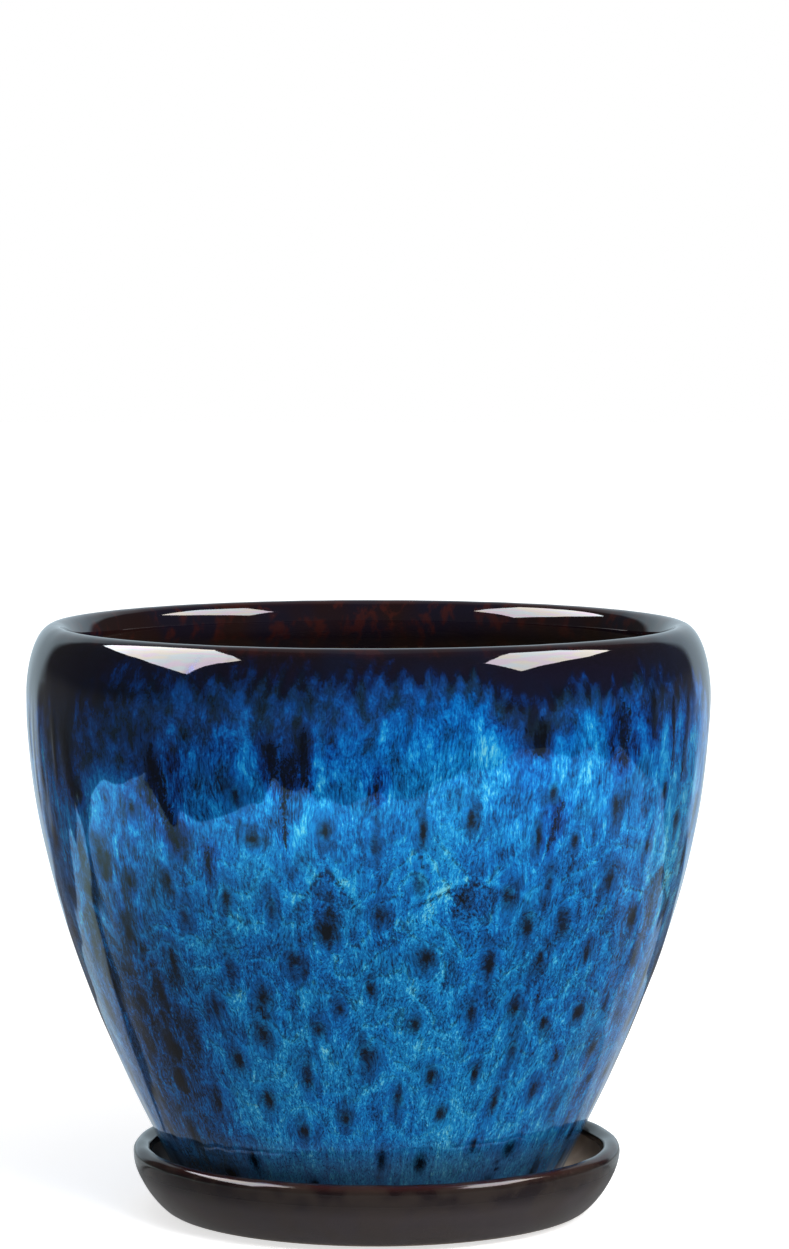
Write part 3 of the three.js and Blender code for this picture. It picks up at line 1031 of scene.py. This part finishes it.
def makeScreen():
    shape = screenShape
    half = shape["thickness"] / 2
    middle = shape["bottom"] + half
    reach = shape["radius"] - shape["rim"]
    angle = columnAngles(shape["rimSteps"])
    rimLine = np.column_stack([reach * np.cos(angle), reach * np.sin(angle), np.full(len(angle), middle)])
    parts = [tubeMesh(rimLine, shape["rim"], half, shape["sides"], True)]
    strand, press = shape["strand"], shape["press"]
    strandHeight = strand * shape["flatness"]
    count = int(shape["radius"] // shape["pitch"])
    for k in range(-count, count):
        offset = (k + 0.5) * shape["pitch"]
        length = math.sqrt(reach**2 - offset**2)
        at = np.linspace(-length, length, shape["steps"])
        still = np.full(shape["steps"], offset)
        # the two layers press into each other at the crossings: a shallow wave along each strand
        wave = press * np.cos(2 * math.pi * at / shape["pitch"])
        over = np.column_stack([at, still, middle + half - strandHeight - press + wave])
        under = np.column_stack([still, at, middle - half + strandHeight + press - wave])
        for path in (over, under):
            parts.append(tubeMesh(path, strand, strandHeight, shape["sides"], False))
    faces, start = [], 0
    for partPoints, partFaces in parts:
        faces += [[start + corner for corner in face] for face in partFaces]
        start += len(partPoints)
    points = np.vstack([partPoints for partPoints, _ in parts]) * mm
    return newPiece("drainNetting", points.tolist(), faces)


netting, shader, height = makeGrainy("blackNetting", 0.0006, 0.4, (27, 28, 27), (40, 41, 39), 0.00008)
feed(shader, roughness=fade(height, 0.3, 0.7, 0.42, 0.62))
settle(makeScreen(), netting, "drain_screen", "netting", "drain_screen")
print("stage: screen made")

# the studio: a white table in the dark, a soft box on each side and a white wall far behind

studio = {
    "cameraPlace": (0.0099, -1.721, 0.359),
    "cameraDip": 4.46,
    "cameraLens": 130.7,
    "tableCentre": (0.1, -0.17),
    "tableHalf": (0.9, 0.45),
    "tableCorner": 0.35,
    "tableLean": 0.12,  # the front edge runs away from the pot towards the right
    "bite": (-0.74, -0.6, 0.408),  # a round bite out of the table's near left corner: x, y, radius
    # before the pot, at the edge on the right and on the left, and behind the pot
    "tableGloss": ((0.32, 0.32, 0.32), (0.64, 0.8, 0.8), (0.95, 1.45, 1.35), (0.55, 0.62, 0.66)),
    "gap": (1.29, 0.05),  # a dark gap across the table on each side: radians from +Y, half width
    "darkGloss": 0.07,
    "roomGloss": 0.15,
    "wallAngles": (0.6, 0.74),  # the white wall's reflection fades out between these angles from +Y
    "wallGloss": (0.6, 0.74, 0.83),
    # soft boxes: azimuth and elevation of the middle, and corners to its right and up, in metres
    "boxes": [
        (-90, 46, [(0.85, -0.06), (0.78, 0.4), (0.5, 0.6), (-0.58, 0.28), (-0.67, -0.48), (0.15, -0.28)]),
        (76, 47, [
            (0.52, 0.1), (-0.17, 0.48), (-0.52, 0.36), (-0.7, -0.02), (-0.33, -0.18), (0.2, -0.27),
            (0.5, -0.34),
        ]),
    ],
    "boxGloss": 14.0,
    "lightDistance": 1.5,  # metres from the boxes and lamps to the point that they aim at
    "aimHeight": 0.12,
    # lamps: azimuth, elevation, watts, size in metres
    "lamps": [(34, 38, 30.0, 0.9), (5, 64, 6.0, 1.2)],
    "skyLight": 0.34,
    "floorHalf": 9.0,
    "floorZ": -0.0001,
    "edgeBlur": 0.003,
}
aimPoint = np.array([0, 0, studio["aimHeight"]])


def studioPlace(azimuth, elevation):
    # azimuth from the camera's side towards the right, in degrees
    a, e = math.radians(azimuth), math.radians(elevation)
    towards = np.array([math.cos(e) * math.sin(a), -math.cos(e) * math.cos(a), math.sin(e)])
    return aimPoint + studio["lightDistance"] * towards


def behindPot(x, y):
    # 1 for what lies within the white wall's angle about +Y, as seen from the pot
    return fall(abs(maths("ARCTAN2", x, y)), *studio["wallAngles"])


def glowing(tree, colour, strength=1.0):
    return newField(tree, "ShaderNodeEmission", {"Color": colour, "Strength": strength})


def raysOf(tree):
    # 1 for what the camera sees straight or through something clear, and 1 for what a gloss mirrors
    path = addNode(tree, "ShaderNodeLightPath").outputs
    camera, clear, glossy = (Field(path[f"Is {kind} Ray"]) for kind in ("Camera", "Transmission", "Glossy"))
    return larger(camera, clear), glossy


def makeFloor():
    size = studio["floorHalf"]
    corners = [(x * size, y * size, studio["floorZ"]) for x, y in ((-1, -1), (1, -1), (1, 1), (-1, 1))]
    floor = newPiece("studioFloor", corners, [(0, 1, 2, 3)], smooth=False)
    material, tree, shader = newMaterial("paleTable")
    feed(shader, colour=grey(0.8), roughness=1.0, specular=0.0)
    x, y, _ = partsOf(placeOf(tree))
    # distance outside a table with round corners: length of what is left of |p - centre| - (half - corner)
    (cx, cy), (hx, hy), corner = studio["tableCentre"], studio["tableHalf"], studio["tableCorner"]
    leaning = y + x * fade(y, -0.3, 0.0, studio["tableLean"], 0.0)
    dx = larger(abs(x - cx) - (hx - corner), 0.0)
    dy = larger(abs(leaning - cy) - (hy - corner), 0.0)
    blur = studio["edgeBlur"]
    onTable = fall(lengthOf(dx, dy), corner - blur, corner + blur)
    bx, by, bite = studio["bite"]
    onTable = onTable * fade(lengthOf(x - bx, y - by), bite - blur, bite + blur)
    far = behindPot(x, y) * fade(y, 0.54, 0.62)
    before, rightEdge, leftEdge, behind = ((*colour, 1) for colour in studio["tableGloss"])
    fromPot = lengthOf(x, y)
    gloss = blend(fade(y, -0.03, 0.12), before, behind)
    onLeft = fall(x, -0.25, 0.15) * fall(y, 0.15, 0.3)
    gloss = blend(fade(fromPot, 0.2, 0.62), gloss, blend(onLeft, rightEdge, leftEdge))
    gapAngle, gapHalf = studio["gap"]
    fromGap = abs(abs(maths("ARCTAN2", x, y)) - gapAngle)
    inGap = fall(fromGap, gapHalf * 0.6, gapHalf * 1.4) * fade(x, -0.02, 0.02, 0.9, 0.45)
    gloss = blend(inGap, gloss, grey(studio["darkGloss"]))
    gloss = blend(onTable, grey(studio["roomGloss"]), gloss)
    gloss = blend(far, gloss, (*studio["wallGloss"], 1))
    matt = Field(shader.outputs[0])
    farWhite = fade(fromPot, 0.5, 2.0, 0.68, 1.0)
    seen = newField(tree, "ShaderNodeAddShader", {0: matt, 1: glowing(tree, grey(1), farWhite)})
    direct, glossy = raysOf(tree)
    look = newField(tree, "ShaderNodeMixShader", {0: direct, 1: matt, 2: seen})
    look = newField(tree, "ShaderNodeMixShader", {0: glossy, 1: look, 2: glowing(tree, gloss)})
    tree.links.new(look.socket, tree.nodes["Material Output"].inputs["Surface"])
    floor.data.materials.append(material)


def makeSoftBoxes():
    material, tree, shader = newMaterial("softBoxCloth")
    # the cloth has faint warm, cool and rosy patches, which the glaze mirrors as an opal tint
    place = placeOf(tree)
    warm, rosy = (noise(vectors("MULTIPLY", place, (scale,) * 3), detail=1.0) for scale in (3.1, 4.3))
    tint = blend(fade(warm, 0.42, 0.58), (0.86, 0.95, 1.0, 1), (1.0, 0.93, 0.83, 1))
    tint = blend(fade(rosy, 0.48, 0.62), tint, (0.98, 0.84, 0.97, 1))
    glow = glowing(tree, tint, studio["boxGloss"])
    tree.links.new(glow.socket, tree.nodes["Material Output"].inputs["Surface"])
    tree.nodes.remove(shader)
    for number, (azimuth, elevation, corners) in enumerate(studio["boxes"]):
        middle = studioPlace(azimuth, elevation)
        away = middle - aimPoint
        away /= np.linalg.norm(away)
        right = np.cross(away, [0, 0, 1])
        right /= np.linalg.norm(right)
        up = np.cross(right, away)
        points = [(middle + x * right + y * up).tolist() for x, y in corners]
        softBox = newPiece(f"softBox{number}", points, [tuple(range(len(corners)))], smooth=False)
        softBox.data.materials.append(material)
        for rays in ("camera", "diffuse", "shadow", "transmission"):
            setattr(softBox, f"visible_{rays}", False)


def makeLamps():
    for number, (azimuth, elevation, watts, size) in enumerate(studio["lamps"]):
        light = bpy.data.lights.new(f"lamp{number}", "AREA")
        light.energy = watts
        light.size = size
        lamp = linked(f"lamp{number}", light)
        lamp.location = studioPlace(azimuth, elevation)
        x, y, z = studioPlace(azimuth, elevation) - aimPoint
        lamp.rotation_euler = (math.atan2(math.hypot(x, y), z), 0, math.atan2(x, -y))
        lamp.visible_glossy = False


def makeSky():
    world = bpy.data.worlds.new("studioSky")
    world.use_nodes = True
    tree = world.node_tree
    x, y, z = partsOf(placeOf(tree, "Generated"))
    direct, glossy = raysOf(tree)
    wall = behindPot(x, y) * fade(z, 0.35, 0.8, 1.0, 0.2)
    dark = fade(z, -0.02, 0.1, studio["roomGloss"], studio["darkGloss"])
    gloss = blend(wall, dark, (*studio["wallGloss"], 1))
    sky = blend(direct, blend(glossy, grey(studio["skyLight"]), gloss), grey(1))
    background = tree.nodes["Background"]
    tree.links.new(sky.socket, background.inputs["Color"])
    background.inputs["Strength"].default_value = 1.0
    scene.world = world


def makeCamera():
    data = bpy.data.cameras.new("camera")
    data.lens = studio["cameraLens"]
    data.sensor_width = 36.0
    data.sensor_fit = "AUTO"
    data.clip_end = 50.0
    camera = linked("camera", data)
    camera.location = studio["cameraPlace"]
    camera.rotation_euler = (math.radians(90 - studio["cameraDip"]), 0, 0)
    scene.camera = camera


makeFloor()
makeSoftBoxes()
makeLamps()
makeSky()
makeCamera()
scene.view_settings.view_transform = "Standard"
print("stage: studio ready")

bpy.context.view_layer.update()
